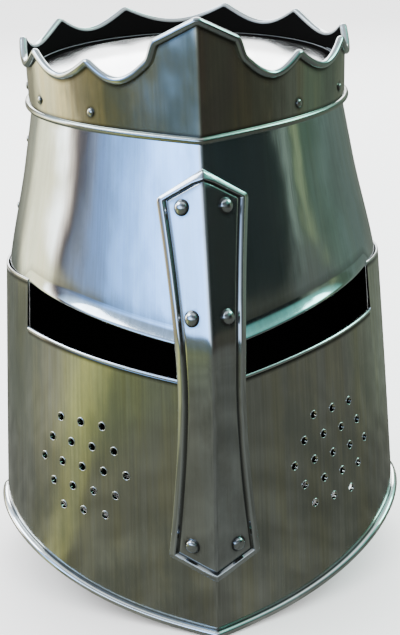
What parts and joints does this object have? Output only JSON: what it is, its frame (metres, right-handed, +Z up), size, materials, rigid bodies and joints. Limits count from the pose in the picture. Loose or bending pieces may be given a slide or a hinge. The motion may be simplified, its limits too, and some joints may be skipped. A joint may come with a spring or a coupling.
{
  "type": "crusader helmet",
  "caption": "Crowned great helm in riveted sheet steel, with a keeled face, eye slits, breath holes and a nasal bar.",
  "frame": {"origin": "middle of the outer box, on the ground plane under the rolled rim", "axes": "+Z up, the face looks along -Y, +X towards the side at the right of a viewer who faces it"},
  "size_m": [0.2502, 0.277, 0.3481],
  "materials": {
    "bright_steel": "polished, lightly brushed",
    "face_steel": "brushed, slightly darkened",
    "crown_steel": "brushed",
    "rivet_steel": "polished, darkened round the head"
  },
  "bodies": {
    "root": {"bar_rivet_1": "rivet_steel", "bar_rivet_2": "rivet_steel", "bar_rivet_3": "rivet_steel", "bar_rivet_4": "rivet_steel", "bar_rivet_5": "rivet_steel", "bar_rivet_6": "rivet_steel", "crown_band": "crown_steel", "crown_bead": "crown_steel", "crown_rivet_1": "rivet_steel", "crown_rivet_10": "rivet_steel", "crown_rivet_2": "rivet_steel", "crown_rivet_3": "rivet_steel", "crown_rivet_4": "rivet_steel", "crown_rivet_5": "rivet_steel", "crown_rivet_6": "rivet_steel", "crown_rivet_7": "rivet_steel", "crown_rivet_8": "rivet_steel", "crown_rivet_9": "rivet_steel", "face_plate": "face_steel", "face_rivet_1": "rivet_steel", "face_rivet_2": "rivet_steel", "face_rivet_3": "rivet_steel", "face_rivet_4": "rivet_steel", "nape_plate": "face_steel", "nape_rivet_1": "rivet_steel", "nape_rivet_2": "rivet_steel", "nasal_bar": "bright_steel", "skull_back": "bright_steel", "skull_front": "bright_steel", "skull_rivet_1": "rivet_steel", "skull_rivet_2": "rivet_steel", "skull_rivet_3": "rivet_steel", "skull_rivet_4": "rivet_steel", "top_plate": "bright_steel"}
  },
  "joints": []
}
